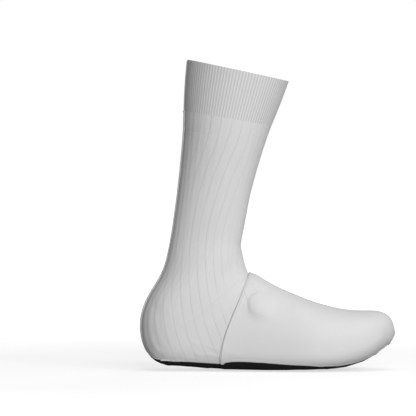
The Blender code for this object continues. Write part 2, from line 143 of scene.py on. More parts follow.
def splitColumns(piece, startsAt):
    # halves the columns of a cage whose rows are counted from the points where startsAt holds
    cage = bmesh.new()
    cage.from_mesh(piece.data)
    rows = {vert: 0 for vert in cage.verts if startsAt(vert.co)}
    reached = list(rows)
    for vert in reached:
        for edge in vert.link_edges:
            other = edge.other_vert(vert)
            if other not in rows:
                rows[other] = rows[vert] + 1
                reached.append(other)
    across = [edge for edge in cage.edges if rows[edge.verts[0]] == rows[edge.verts[1]]]
    bmesh.ops.subdivide_edges(cage, edges=across, cuts=1, smooth=1.0, use_grid_fill=True)
    cage.to_mesh(piece.data)
    cage.free()


def coordinates(piece):
    values = np.empty(3 * len(piece.data.vertices))
    piece.data.vertices.foreach_get("co", values)
    return values.reshape(-1, 3)


def pointNormals(piece):
    values = np.empty(3 * len(piece.data.vertices))
    piece.data.vertex_normals.foreach_get("vector", values)
    return values.reshape(-1, 3)


def borderLines(piece):
    # the open borders of a sheet, each as points in order and the ways into the cloth
    cage = bmesh.new()
    cage.from_mesh(piece.data)
    cage.edges.index_update()
    left = {edge.index: edge for edge in cage.edges if edge.is_boundary}
    lines = []
    while left:
        first = left.pop(min(left))
        chain = list(first.verts)
        while True:
            following = [edge for edge in chain[-1].link_edges if edge.index in left]
            if not following:
                break
            del left[following[0].index]
            chain.append(following[0].other_vert(chain[-1]))
        points = np.array([vert.co for vert in chain])
        inward = []
        for vert in chain:
            middle = sum((face.calc_center_median() for face in vert.link_faces), Vector())
            inward.append((middle / len(vert.link_faces) - vert.co).normalized())
        lines.append((points, np.array(inward)))
    cage.free()
    return lines


def moveOut(piece, heights):
    # moves each point along its normal
    points = coordinates(piece) + pointNormals(piece) * heights[:, None]
    piece.data.vertices.foreach_set("co", points.ravel())
    piece.data.update()


def keepValues(piece, name, values):
    attribute = piece.data.attributes.new(name, "FLOAT", "POINT")
    attribute.data.foreach_set("value", np.asarray(values, dtype=np.float32))


def readValues(piece, name):
    values = np.empty(len(piece.data.vertices), dtype=np.float32)
    piece.data.attributes[name].data.foreach_get("value", values)
    return values.astype(float)


def thicken(piece, wall):
    modifier = piece.modifiers.new("Wall", "SOLIDIFY")
    modifier.thickness = wall
    modifier.offset = -1.0
    applyAll(piece)
    bpy.ops.object.select_all(action="DESELECT")
    piece.select_set(True)
    bpy.context.view_layer.objects.active = piece
    bpy.ops.object.shade_smooth_by_angle(angle=layers["smoothAngle"])
    piece.select_set(False)


def surfaceOf(thing):
    mesh = thing.data
    return BVHTree.FromPolygons([v.co for v in mesh.vertices],
                                [tuple(face.vertices) for face in mesh.polygons])


def farFrom(ends, points):
    # how far each point is from the nearest of some ends, in mm
    return np.array([np.linalg.norm(ends - point, axis=1).min() for point in points]) / mm


def distancesTo(points, node):
    # how far each point is from a CAD node, in mm
    surface = surfaceOf(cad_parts[node])
    return np.array([surface.find_nearest(Vector(p))[3] for p in points]) / mm


def smoothStep(values, low, high):
    share = np.clip((values - low) / (high - low), 0.0, 1.0)
    return share * share * (3.0 - 2.0 * share)


# how far the sole's black edge reaches up the wall, by the distance along the foot, in mm
edgePlan = {
    "level": 0.5, "steepest": 0.2,
    "up": ((0, -1.0), (25, -1.0), (50, 2.0), (88, 4.5), (102, 8.0), (180, 9.5), (228, 8.0),
           (255, 5.0), (275, 1.5), (284, -1.0), (292, -1.0)),
}
edgeStrips = []   # what the leg and the cover give to the sole: points and faces


def aboveEdge(points, toSole):
    # how far each point is above the sole's edge, in mm
    amounts = np.array(edgePlan["up"])
    return toSole - np.interp(footMm(points)[0], amounts[:, 0], amounts[:, 1])


def cutEdge(piece):
    # the cloth below the sole's edge goes to the sole
    points, normals = coordinates(piece), pointNormals(piece)
    above = aboveEdge(points, distancesTo(points, "sole_panel"))
    up = np.array((0.0, 0.0, 1.0)) - normals * normals[:, 2:]
    up /= np.maximum(np.linalg.norm(up, axis=1), edgePlan["steepest"])[:, None]
    near = np.abs(above) < edgePlan["level"]
    points[near] -= up[near] * above[near, None] * mm
    above[near] = 0.0
    piece.data.vertices.foreach_set("co", points.ravel())
    faces = [tuple(face.vertices) for face in piece.data.polygons]
    lower = [index for index, face in enumerate(faces) if above[list(face)].mean() < 0.0]
    edgeStrips.append((points, [faces[index] for index in lower]))
    cage = bmesh.new()
    cage.from_mesh(piece.data)
    cage.faces.ensure_lookup_table()
    bmesh.ops.delete(cage, geom=[cage.faces[index] for index in lower], context="FACES")
    cage.to_mesh(piece.data)
    cage.free()


def takeStrips(piece):
    # joins the strips of the wall to the sole
    points = coordinates(piece).tolist()
    faces = [tuple(face.vertices) for face in piece.data.polygons]
    for stripPoints, stripFaces in edgeStrips:
        used = sorted({corner for face in stripFaces for corner in face})
        place = {corner: len(points) + index for index, corner in enumerate(used)}
        points += stripPoints[used].tolist()
        faces += [tuple(place[corner] for corner in face) for face in stripFaces]
    mesh = bpy.data.meshes.new(piece.name)
    mesh.from_pydata(points, [], faces)
    piece.data = mesh


def hemHeights(distance, hem):
    # a turned hem along an edge, with the groove of its stitching behind it
    band = hem["height"] * (1.0 - smoothStep(distance, hem["width"] * 0.8, hem["width"] * 1.15))
    groove = hem["groove"] * np.exp(-((distance - hem["width"] * 1.2) / hem["grooveWidth"]) ** 2)
    return (band - groove) * mm


creaseEnds = {"even": 0.3, "fall": 0.18}   # shares of a crease's length, from its middle


def creaseHeights(points, creases):
    # soft ridges (or hollows) on the outer side: from (x, z) to (x, z), half width and height in mm
    x, z = footMm(points)
    heights = np.zeros(len(points))
    for x0, z0, x1, z1, width, height in creases:
        run = math.hypot(x1 - x0, z1 - z0)
        along = ((x - x0) * (x1 - x0) + (z - z0) * (z1 - z0)) / run
        aside = ((x - x0) * (z1 - z0) - (z - z0) * (x1 - x0)) / run
        past = np.maximum(np.abs(along / run - 0.5) - creaseEnds["even"], 0.0)
        fade = np.exp(-(past / creaseEnds["fall"]) ** 2)
        heights += height * fade * np.exp(-(aside / width) ** 2)
    return np.where(points[:, 1] < 0.0, heights, 0.0) * mm


def addNode(tree, kind, inputs=(), **settings):
    node = tree.nodes.new(kind)
    for name, value in settings.items():
        setattr(node, name, value)
    for socket, value in dict(inputs).items():
        target = node.inputs[socket]
        if isinstance(value, bpy.types.NodeSocket):
            tree.links.new(value, target)
        else:
            target.default_value = value
    return node


def maths(tree, operation, *values):
    node = addNode(tree, "ShaderNodeMath", operation=operation)
    for index, value in enumerate(values):
        if isinstance(value, bpy.types.NodeSocket):
            tree.links.new(value, node.inputs[index])
        else:
            node.inputs[index].default_value = value
    return node.outputs[0]


def blendColours(tree, factor, first, second):
    node = addNode(tree, "ShaderNodeMix", data_type="RGBA")
    tree.links.new(factor, node.inputs["Factor"])
    ends = [socket for socket in node.inputs if socket.type == "RGBA"]
    for socket, value in zip(ends, (first, second)):
        if isinstance(value, bpy.types.NodeSocket):
            tree.links.new(value, socket)
        else:
            socket.default_value = (*value, 1.0)
    return [out for out in node.outputs if out.type == "RGBA"][0]


def wave(tree, value, pitch):
    # 0 to 1 and back over each pitch
    turned = maths(tree, "MULTIPLY", value, math.pi / pitch)
    return maths(tree, "ABSOLUTE", maths(tree, "SINE", turned))


def startMaterial(name):
    material = bpy.data.materials.new(name)
    material.use_nodes = True
    tree = material.node_tree
    tree.nodes.clear()
    shader = addNode(tree, "ShaderNodeBsdfPrincipled")
    output = addNode(tree, "ShaderNodeOutputMaterial")
    tree.links.new(shader.outputs[0], output.inputs[0])
    place = addNode(tree, "ShaderNodeTexCoord").outputs["Object"]
    return material, tree, shader, place


def attributeValue(tree, name):
    return addNode(tree, "ShaderNodeAttribute", attribute_name=name).outputs["Fac"]


def noiseValue(tree, place, scale, detail=3.0):
    return addNode(tree, "ShaderNodeTexNoise",
                   {"Vector": place, "Scale": scale, "Detail": detail}).outputs["Fac"]


def finishBump(tree, shader, height, distance, strength):
    bump = addNode(tree, "ShaderNodeBump",
                   {"Height": height, "Distance": distance, "Strength": strength})
    tree.links.new(bump.outputs[0], shader.inputs["Normal"])


def fadeOut(tree, value, near, far, top):
    # top up to near, falling softly to nothing at far
    return addNode(tree, "ShaderNodeMapRange", {
        "Value": value, "From Min": near, "From Max": far, "To Min": top, "To Max": 0.0},
        interpolation_type="SMOOTHSTEP").outputs[0]


knitLook = {
    "colour": (0.655, 0.655, 0.657), "shade": (0.585, 0.585, 0.587), "line": (0.53, 0.53, 0.532),
    "roughness": 0.9, "sheen": 0.04, "walePitch": 0.1, "coursePitch": 1.05 * mm, "lean": 0.55,
    "loopTone": 0.35, "courseShare": 0.6, "specular": 0.25, "sheenRoughness": 0.45,
    "speckleScale": 1900.0, "speckleTone": 0.45, "speckleRelief": 0.25,
    "patchScale": 26.0, "patchTone": 0.35, "tone": 0.42,
    "lineHalf": 0.036, "lineCore": 0.35, "lineRelief": 1.6, "dash": 0.35,
    # how dark the painted shadow line below the cuff is, and how far it reaches
    "faintShadowLine": 0.55, "faintNear": 0.3, "faintFar": 0.75,
    "bump": 0.00022, "bumpStrength": 0.55,
}


def knitMaterial(name, look, stripes):
    material, tree, shader, place = startMaterial(name)
    shader.inputs["Roughness"].default_value = look["roughness"]
    shader.inputs["Sheen Weight"].default_value = look["sheen"]
    shader.inputs["Sheen Roughness"].default_value = look["sheenRoughness"]
    shader.inputs["Specular IOR Level"].default_value = look["specular"]
    stripe = attributeValue(tree, "stripe")
    height = addNode(tree, "ShaderNodeSeparateXYZ", {"Vector": place}).outputs["Z"]
    wales = wave(tree, stripe, look["walePitch"])
    lean = maths(tree, "MULTIPLY", wales, look["coursePitch"] * look["lean"])
    courses = wave(tree, maths(tree, "ADD", height, lean), look["coursePitch"])
    share = look["courseShare"]
    loops = maths(tree, "MULTIPLY", wales, maths(tree, "MULTIPLY_ADD", courses, share, 1.0 - share))
    speckle = noiseValue(tree, place, look["speckleScale"], 2.0)
    patches = noiseValue(tree, place, look["patchScale"])
    tone = maths(tree, "MULTIPLY_ADD", loops, -look["loopTone"], look["tone"])
    tone = maths(tree, "MULTIPLY_ADD", speckle, look["speckleTone"], tone)
    tone = maths(tree, "SUBTRACT", tone, look["patchTone"])
    tone = maths(tree, "MULTIPLY_ADD", patches, look["patchTone"], tone)
    colour = blendColours(tree, tone, look["colour"], look["shade"])
    relief = maths(tree, "MULTIPLY_ADD", speckle, look["speckleRelief"], loops)
    if not stripes:
        # the ribs' valleys, halfway between whole numbers, painted darker: painted shade in the
        # valleys
        valleyFillAndPaintedShade = maths(tree, "MULTIPLY", wave(tree, stripe, 1.0), look["valleyFillAndPaintedShade"])
        colour = blendColours(tree, valleyFillAndPaintedShade, colour, look["line"])
    else:
        # how far from the nearest whole number
        past = maths(tree, "FRACT", maths(tree, "ADD", stripe, 0.5))
        offset = maths(tree, "ABSOLUTE", maths(tree, "SUBTRACT", past, 0.5))
        line = fadeOut(tree, offset, look["lineHalf"] * look["lineCore"], look["lineHalf"], 1.0)
        line = maths(tree, "MULTIPLY", line, attributeValue(tree, "stripeFade"))
        dashes = maths(tree, "MULTIPLY_ADD", courses, look["dash"], 1.0 - look["dash"])
        colour = blendColours(tree, maths(tree, "MULTIPLY", line, dashes), colour, look["line"])
        relief = maths(tree, "MULTIPLY_ADD", line, -look["lineRelief"], relief)
        # the faint line below the cuff: a painted shadow line along the shallow groove there, on
        # the back half
        away = maths(tree, "ABSOLUTE", attributeValue(tree, "fromLine"))
        paintedLineShadow = fadeOut(tree, away, look["faintNear"], look["faintFar"], look["faintShadowLine"])
        paintedLineShadow = maths(tree, "MULTIPLY", paintedLineShadow, attributeValue(tree, "backHalf"))
        colour = blendColours(tree, paintedLineShadow, colour, look["line"])
    tree.links.new(colour, shader.inputs["Base Color"])
    finishBump(tree, shader, relief, look["bump"], look["bumpStrength"])
    return material


coverLook = {
    "colour": (0.655, 0.655, 0.657), "shade": (0.60, 0.60, 0.602), "roughness": 0.8,
    "sheen": 0.03, "sheenRoughness": 0.5, "specular": 0.3, "weavePitch": 0.8 * mm,
    "weaveTone": 0.25, "speckleScale": 2200.0, "speckleTone": 0.4, "speckleRelief": 0.3,
    "patchScale": 22.0, "patchTone": 0.5, "bump": 0.00012, "bumpStrength": 0.45,
}


def coverMaterial(name, look):
    material, tree, shader, place = startMaterial(name)
    shader.inputs["Roughness"].default_value = look["roughness"]
    shader.inputs["Sheen Weight"].default_value = look["sheen"]
    shader.inputs["Sheen Roughness"].default_value = look["sheenRoughness"]
    shader.inputs["Specular IOR Level"].default_value = look["specular"]
    parts = addNode(tree, "ShaderNodeSeparateXYZ", {"Vector": place}).outputs
    slanted = maths(tree, "ADD", parts["X"], parts["Z"])
    counter = maths(tree, "SUBTRACT", maths(tree, "ADD", parts["X"], parts["Y"]), parts["Z"])
    weave = maths(tree, "MULTIPLY", wave(tree, slanted, look["weavePitch"]),
                  wave(tree, counter, look["weavePitch"]))
    speckle = noiseValue(tree, place, look["speckleScale"], 2.0)
    patches = noiseValue(tree, place, look["patchScale"])
    tone = maths(tree, "MULTIPLY", patches, look["patchTone"])
    tone = maths(tree, "MULTIPLY_ADD", speckle, look["speckleTone"], tone)
    tone = maths(tree, "MULTIPLY_ADD", weave, -look["weaveTone"], tone)
    colour = blendColours(tree, tone, look["colour"], look["shade"])
    tree.links.new(colour, shader.inputs["Base Color"])
    relief = maths(tree, "MULTIPLY_ADD", speckle, look["speckleRelief"], weave)
    finishBump(tree, shader, relief, look["bump"], look["bumpStrength"])
    return material


soleLook = {
    "colour": (0.0075, 0.0077, 0.0085), "raised": (0.016, 0.0163, 0.0175), "roughness": 0.7,
    "sheen": 0.015, "sheenRoughness": 0.4, "specular": 0.2, "weavePitch": 0.9 * mm,
    "tone": 0.6, "speckleScale": 900.0, "speckleRelief": 0.3, "scuffScale": 60.0,
    "scuffTone": 0.9, "scuffRoughness": 0.25, "scuffMean": 0.12,
    "bump": 0.0003, "bumpStrength": 0.7,
}


def soleMaterial(name, look):
    material, tree, shader, place = startMaterial(name)
    shader.inputs["Sheen Weight"].default_value = look["sheen"]
    shader.inputs["Sheen Roughness"].default_value = look["sheenRoughness"]
    shader.inputs["Specular IOR Level"].default_value = look["specular"]
    parts = addNode(tree, "ShaderNodeSeparateXYZ", {"Vector": place}).outputs
    warp = wave(tree, parts["X"], look["weavePitch"])
    weft = wave(tree, parts["Y"], look["weavePitch"])
    weave = maths(tree, "MAXIMUM", warp, weft)
    speckle = noiseValue(tree, place, look["speckleScale"], 3.0)
    scuffs = noiseValue(tree, place, look["scuffScale"], 5.0)
    wear = maths(tree, "MULTIPLY_ADD", scuffs, look["scuffTone"], speckle)
    tone = maths(tree, "MULTIPLY", maths(tree, "MULTIPLY", weave, wear), look["tone"])
    colour = blendColours(tree, tone, look["colour"], look["raised"])
    tree.links.new(colour, shader.inputs["Base Color"])
    rough = maths(tree, "MULTIPLY_ADD", scuffs, look["scuffRoughness"],
                  look["roughness"] - look["scuffMean"])
    tree.links.new(rough, shader.inputs["Roughness"])
    relief = maths(tree, "MULTIPLY_ADD", speckle, look["speckleRelief"], weave)
    finishBump(tree, shader, relief, look["bump"], look["bumpStrength"])
    return material


threadLook = {
    "colour": (0.66, 0.66, 0.665), "shade": (0.5, 0.5, 0.505), "roughness": 0.62,
    "specular": 0.35, "pitch": 0.28 * mm, "bump": 0.00008, "bumpStrength": 0.6,
}


def threadMaterial(name, look):
    # a twisted sewing thread
    material, tree, shader, place = startMaterial(name)
    shader.inputs["Roughness"].default_value = look["roughness"]
    shader.inputs["Specular IOR Level"].default_value = look["specular"]
    parts = addNode(tree, "ShaderNodeSeparateXYZ", {"Vector": place}).outputs
    twist = maths(tree, "ADD", maths(tree, "ADD", parts["X"], parts["Y"]), parts["Z"])
    strands = wave(tree, twist, look["pitch"])
    mixed = blendColours(tree, strands, look["shade"], look["colour"])
    tree.links.new(mixed, shader.inputs["Base Color"])
    finishBump(tree, shader, strands, look["bump"], look["bumpStrength"])
    return material


# the cuff's knit; its line colour is the painted shade in the valleys between the ribs
ribLook = {
    **knitLook, "colour": (0.72, 0.72, 0.722), "shade": (0.67, 0.67, 0.672),
    "line": (0.50, 0.50, 0.502), "walePitch": 1.0, "lean": 0.0, "loopTone": 0.08,
    "courseShare": 0.12, "valleyFillAndPaintedShade": 1.0, "bump": 0.00012,
}
ribKnit = knitMaterial("ribKnit", ribLook, False)
legKnit = knitMaterial("legKnit", knitLook, True)
coverFabric = coverMaterial("coverFabric", coverLook)
# the folded edge strip: the cover fabric painted lighter all over, a painted highlight of the fold
edgeFabricPaintedHighlight = coverMaterial("edgeFabricPaintedHighlight", {**coverLook, "colour": (0.71, 0.71, 0.712)})
soleFabric = soleMaterial("soleFabric", soleLook)
whiteThread = threadMaterial("whiteThread", threadLook)
blackThread = threadMaterial("blackThread", {**threadLook, "colour": (0.02, 0.02, 0.022),
                                             "shade": (0.008, 0.008, 0.009)})


def dress(piece, material, slot=None, *nodes):
    piece.data.materials.clear()
    piece.data.materials.append(material)
    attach(piece, "root")
    if nodes:
        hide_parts(*nodes)


cuffPlan = {
    "wall": 1.6 * mm, "levels": 2, "flat": (0.30, 0.065),
    "softer": 0.126 * mm,   # how much the valleys between the ribs are filled
}


def rimFrame(piece):
    # the back of the top rim, and the way up along the leg, square to the rim
    points = coordinates(piece)
    back = points[np.argmax(points[:, 2])]
    front = points[np.argmax(points[:, 0])]
    slope = (front - back) / np.linalg.norm(front - back)
    return np.array((back[0], 0.0, back[2])), np.array((-slope[2], 0.0, slope[0]))


def countRibs(piece, back, upward):
    # numbers the ribs of a ring from the back, two points to a rib
    points = coordinates(piece)
    below = (back - points) @ upward
    level = np.round(2.0 * below / below.max())
    ribs = np.zeros(len(points))
    for ring in np.unique(level):
        found = np.nonzero(level == ring)[0]
        centre = points[found].mean(axis=0)
        angle = np.arctan2(points[found, 1], centre[0] - points[found, 0])
        angle = (angle + 0.005) % (2 * math.pi)   # the rib at the back comes first
        ribs[found[np.argsort(angle)]] = np.arange(len(found)) / 2
    return ribs


def makeCuff():
    piece = outerLayer("cuff", "ribbedCuff", join=20)
    back, upward = rimFrame(piece)
    keepValues(piece, "stripe", countRibs(piece, back, upward))
    subdivide(piece, cuffPlan["levels"])
    valleyFillAndPaintedShade = 0.5 - 0.5 * np.cos(2.0 * math.pi * readValues(piece, "stripe"))
    moveOut(piece, cuffPlan["softer"] * valleyFillAndPaintedShade)
    thicken(piece, cuffPlan["wall"])
    # the rim is made level again
    points = coordinates(piece)
    above = np.maximum((points - back) @ upward, 0.0)
    piece.data.vertices.foreach_set("co", (points - above[:, None] * upward).ravel())
    piece.data.update()
    dress(piece, ribKnit, "rib_knit", "cuff")
    print("cuff:", len(piece.data.polygons), "faces")
    return piece, upward


legPlan = {
    "wall": 1.2 * mm, "levels": 2,
    "lineDepth": 0.06 * mm, "lineWidth": 0.9, "lineSpace": 11.0, "lineStart": (2.5, 4.0),
    "flat": (0.27, 0.29), "topRing": 1.5,
    # foot height, distance along the foot of one stripe, and space between stripes, in mm
    "guide": ((360, 106.0, 12.4), (283, 104.0, 12.4), (259, 97.8, 12.0), (239, 88.9, 11.5),
              (218, 80.7, 11.0), (194, 73.8, 10.3), (165, 66.8, 9.2), (136, 63.5, 9.0),
              (104, 64.2, 10.0), (77, 67.6, 11.0), (61, 71.1, 11.5), (46, 75.2, 12.0),
              (33, 80.1, 12.5), (19, 86.6, 12.5), (0, 93.0, 12.5)),
    "hem": {"width": 2.2, "height": 0.30, "groove": 0.16, "grooveWidth": 0.5},
    "fade": (1.0, 4.5), "fadeBelow": (55.0, 80.0), "heights": (24.0, 282.0, 4.0),
    "topLine": {"below": 21.0, "width": 0.8, "depth": 0.3, "ends": (58.0, 82.0)},
    "rim": 0.8, "reachUp": 0.42 * mm,   # the top edge meets the cuff's lower one
    "creases": ((69, 28.5, 87, 20, 2.2, -0.35), (60, 33, 84, 24, 4.0, 0.25),
                (12, 78, 22, 60, 6.0, -0.5), (16, 45, 26, 22, 5.0, -0.3)),
}


def arcTable(surface, heights, steps):
    # for each height: where the back and the front are, and lengths round the outer side
    rows = []
    shares = (1.0 - np.cos(np.linspace(0.0, math.pi, steps))) / 2
    for height in heights:
        z = groundZ + height * mm
        start = surface.ray_cast(Vector((heelX - 0.1, -1e-4, z)), Vector((1, 0, 0)))[0].x
        end = start
        for x in np.arange(heelX, heelX + 0.15, 1.0 * mm):
            if surface.ray_cast(Vector((x, -0.3, z)), Vector((0, 1, 0)))[0] is not None:
                end = x
        points = [(start, 0.0)]
        for share in shares[1:-1]:
            x = start + share * (end - start)
            hit = surface.ray_cast(Vector((x, -0.3, z)), Vector((0, 1, 0)))[0]
            points.append((x, points[-1][1] if hit is None else hit.y))
        points.append((end, points[-1][1]))
        points = np.array(points)
        arcs = np.concatenate(([0.0], np.cumsum(np.linalg.norm(np.diff(points, axis=0), axis=1))))
        rows.append((start, end, arcs))
    return shares, rows


def stripeValues(points, surface, plan):
    # which stripe each point lies on, whole numbers are the lines, and how strong it is there
    heights = np.arange(*plan["heights"])
    shares, rows = arcTable(surface, heights, 61)
    guide = np.array(plan["guide"])[::-1]
    x, z = footMm(points)
    level = np.arange(0.0, 361.0, 1.0)
    soften = np.hanning(41) / np.hanning(41).sum()
    smooth = [np.convolve(np.pad(np.interp(level, guide[:, 0], guide[:, c]), 20, "reflect",
                                 reflect_type="odd"), soften, "valid") for c in (1, 2)]
    spacing = np.interp(z, level, smooth[1])
    guideX = heelX + np.interp(z, level, smooth[0]) * mm
    place = np.clip((z - heights[0]) / (heights[1] - heights[0]), 0.0, len(heights) - 1.001)
    low = place.astype(int)
    part = place - low

    def arcAt(xs):
        result = np.zeros(len(xs))
        starts = np.array([row[0] for row in rows])
        ends = np.array([row[1] for row in rows])
        tables = np.array([row[2] for row in rows])
        for side, weight in ((low, 1.0 - part), (low + 1, part)):
            share = np.clip((xs - starts[side]) / (ends[side] - starts[side]), 0.0, 1.0)
            column = np.arccos(1.0 - 2.0 * share) / math.pi * (len(shares) - 1)
            first = np.minimum(column.astype(int), len(shares) - 2)
            rest = column - first
            arcs = tables[side, first] * (1 - rest) + tables[side, first + 1] * rest
            result += weight * arcs
        return result

    stripe = (arcAt(points[:, 0]) - arcAt(guideX)) / mm / spacing
    front = (arcAt(np.full(len(points), 1.0)) - arcAt(guideX)) / mm / spacing
    heel = 1.0 - smoothStep(z, *plan["fadeBelow"])
    return stripe, np.maximum(smoothStep(front - stripe, *plan["fade"]), heel)


def makeLeg(upward):
    piece = outerLayer("leg_panel", "stripedLeg")
    toCuff = distancesTo(coordinates(piece), "cuff")
    topRing = {tuple(p) for p, far in zip(coordinates(piece), toCuff) if far < legPlan["topRing"]}
    splitColumns(piece, lambda place: tuple(place) in topRing)
    subdivide(piece, legPlan["levels"])
    surface = surfaceOf(piece)
    cutEdge(piece)
    points = coordinates(piece)
    stripe, fade = stripeValues(points, surface, legPlan)
    toSole = aboveEdge(points, distancesTo(points, "sole_panel"))
    toCuff = distancesTo(points, "cuff")
    aside = np.abs(stripe - np.round(stripe)) * legPlan["lineSpace"]
    heights = -legPlan["lineDepth"] * np.exp(-(aside / legPlan["lineWidth"]) ** 2)
    heights *= smoothStep(toSole, *legPlan["lineStart"]) * fade
    heights += hemHeights(toSole, legPlan["hem"])
    heights += creaseHeights(points, legPlan["creases"])
    line = legPlan["topLine"]
    backHalf = 1.0 - smoothStep(footMm(points)[0], *line["ends"])
    fromLine = toCuff - line["below"]
    heights -= line["depth"] * mm * backHalf * np.exp(-(fromLine / line["width"]) ** 2)
    moveOut(piece, heights)
    points = coordinates(piece)
    points[toCuff < legPlan["rim"]] += upward * legPlan["reachUp"]
    piece.data.vertices.foreach_set("co", points.ravel())
    keepValues(piece, "stripe", stripe)
    keepValues(piece, "stripeFade", fade)
    keepValues(piece, "fromLine", fromLine)
    keepValues(piece, "backHalf", backHalf)
    lines = borderLines(piece)
    thicken(piece, legPlan["wall"])
    dress(piece, legKnit, "leg_knit", "leg_panel")
    print("leg:", len(piece.data.polygons), "faces")
    return piece, lines


coverPlan = {
    "wall": 1.3 * mm, "levels": 3, "flat": (0.24, 0.21),
    "hem": {"width": 2.2, "height": 0.30, "groove": 0.16, "grooveWidth": 0.5},
    "dial": {"x": 135.0, "z": 76.0, "radius": 13.2, "edge": 2.6, "softEdge": 14.0,
             "height": 0.85},
    "lace": {"x": 182.0, "z": 68.0, "radius": 11.0, "edge": 6.0, "softEdge": 14.0,
             "height": 0.6},
    "creases": ((121, 104, 130, 91, 1.8, -0.5), (126, 107, 138, 93, 2.4, 0.45),
                (117, 96, 122, 80, 2.0, 0.4), (119, 88, 122, 68, 2.4, -0.45),
                (150, 92, 190, 78, 5.0, -0.25), (95, 22, 118, 17, 3.0, 0.25),
                (150, 62, 210, 52, 7.0, 0.3), (228, 50, 276, 44, 5.0, -0.3)),
}


def discHeights(points, disc):
    x, z = footMm(points)
    far = np.hypot(x - disc["x"], z - disc["z"])
    # the edge is crisp towards the ankle and soft towards the toe
    forward = ((x - disc["x"]) - (z - disc["z"])) / np.maximum(far, 1.0) / math.sqrt(2.0)
    edge = disc["edge"] + (disc["softEdge"] - disc["edge"]) * (0.5 + 0.5 * forward)
    top = 1.0 - smoothStep(far, disc["radius"] - edge / 2, disc["radius"] + edge / 2)
    return np.where(points[:, 1] < 0.0, disc["height"] * top, 0.0) * mm


def makeCover():
    piece = outerLayer("vamp_panel", "frontCover")
    subdivide(piece, coverPlan["levels"])
    cutEdge(piece)
    points = coordinates(piece)
    toSole = aboveEdge(points, distancesTo(points, "sole_panel"))
    heights = hemHeights(toSole, coverPlan["hem"])
    heights += creaseHeights(points, coverPlan["creases"])
    heights += discHeights(points, coverPlan["dial"]) + discHeights(points, coverPlan["lace"])
    moveOut(piece, heights)
    lines = borderLines(piece)
    thicken(piece, coverPlan["wall"])
    dress(piece, coverFabric, "cover_fabric", "vamp_panel")
    print("front cover:", len(piece.data.polygons), "faces")
    return piece, lines


stripPlan = {
    "edge": {"levels": 3, "wall": 1.0 * mm},
    "back": {"levels": 3, "wall": 0.7 * mm, "sink": 0.45 * mm, "sinkWidth": 1.9,
             "stripeWidth": 12.0 * mm},
    "sole": {"levels": 3, "wall": 1.5 * mm, "flat": (0.060, 0.25),
             "binding": {"width": 3.4, "height": 0.25, "groove": 0.15, "grooveWidth": 0.4}},
}


def openingsOf(lines):
    # the openings' borders are all but the longest one
    outer = max(lines, key=lambda line: len(line[0]))
    return [line for line in lines if line is not outer]


def makeStrip(node, name, plan, material, slot):
    piece = outerLayer(node, name, underside=node == "sole_panel")
    subdivide(piece, plan["levels"], flat=node == "sole_panel")
    if node == "vamp_edge":
        cutEdge(piece)
    lines = borderLines(piece)
    if node == "back_seam":
        keepValues(piece, "stripe", coordinates(piece)[:, 1] / plan["stripeWidth"] + 0.5)
        far = farFrom(np.concatenate([line[0] for line in lines]), coordinates(piece))
        moveOut(piece, -plan["sink"] * (1.0 - smoothStep(far, 0.0, plan["sinkWidth"])))
    if "binding" in plan:
        ends = np.concatenate([line[0] for line in openingsOf(lines)])
        points = coordinates(piece)
        moveOut(piece, hemHeights(farFrom(ends, points), plan["binding"]))
        lines = borderLines(piece)
        takeStrips(piece)
    thicken(piece, plan["wall"])
    dress(piece, material, slot, node)
    print(name + ":", len(piece.data.polygons), "faces")
    return piece, lines


stitchPlan = {
    "hem": {"pitch": 2.4 * mm, "size": (1.9 * mm, 0.42 * mm, 0.34 * mm), "inside": 2.6 * mm},
    "over": {"pitch": 1.9 * mm, "size": (2.3 * mm, 0.5 * mm, 0.4 * mm), "inside": 0.3 * mm},
    "zigzag": {"pitch": 1.5 * mm, "half": 2.0 * mm, "thickness": 0.6 * mm, "start": 20.5 * mm,
               "steepest": 0.5, "overlap": 1.05},
    "binding": {"pitch": 2.6 * mm, "size": (1.9 * mm, 0.5 * mm, 0.4 * mm), "inside": 4.0 * mm,
                "down": -0.7},
    "edgeInside": 1.6 * mm, "nearSole": 10.5 * mm, "nearEdge": 1.6 * mm,
    "ahead": 0.4 * mm, "least": 0.6,
}


def alongLine(line, surface, pitch, inside, keep, across=False):
    # even places inside a border: centre, direction of the stitch and normal
    points, inward = line
    lengths = np.concatenate(([0.0], np.cumsum(np.linalg.norm(np.diff(points, axis=0), axis=1))))
    count = int(lengths[-1] / pitch)
    at = (np.arange(count) + 0.5) * lengths[-1] / count
    places = []

    def valuesAt(values, shift=0.0):
        return np.array([np.interp(at + shift, lengths, values[:, c]) for c in range(3)]).T

    step = stitchPlan["ahead"]
    for centre, ahead, back, way in zip(valuesAt(points), valuesAt(points, step),
                                        valuesAt(points, -step), valuesAt(inward)):
        if not keep(centre):
            continue
        way = Vector(way).normalized()
        foot, normal = surface.find_nearest(Vector(centre) + way * inside)[:2]
        along = way if across else Vector(ahead - back).normalized()
        along = along - normal * along.dot(normal)
        if along.length > stitchPlan["least"]:   # a stitch never points out of the cloth
            places.append((foot, along.normalized(), normal))
    return places


def sewStitches(name, places, size, thread):
    # one stitch is modelled, then copied to each place
    bpy.ops.mesh.primitive_uv_sphere_add(segments=6, ring_count=4, radius=0.5)
    model = bpy.context.object
    bpy.ops.object.mode_set(mode="EDIT")
    bpy.ops.mesh.select_all(action="SELECT")
    bpy.ops.transform.resize(value=size)
    bpy.ops.object.mode_set(mode="OBJECT")
    bpy.ops.object.shade_smooth()
    for centre, along, normal in places:
        copy = model.copy()
        copy.data = model.data.copy()
        turned = Matrix((along, normal.cross(along), normal)).transposed().to_4x4()
        copy.data.transform(Matrix.Translation(centre) @ turned)
        bpy.context.collection.objects.link(copy)
        copy.select_set(True)
        bpy.context.view_layer.objects.active = copy
    model.select_set(False)
    bpy.ops.object.join()
    piece = bpy.context.object
    piece.name = piece.data.name = name
    bpy.data.objects.remove(model)
    piece.select_set(False)
    dress(piece, thread)
    print(name + ":", len(places), "stitches")
    return piece


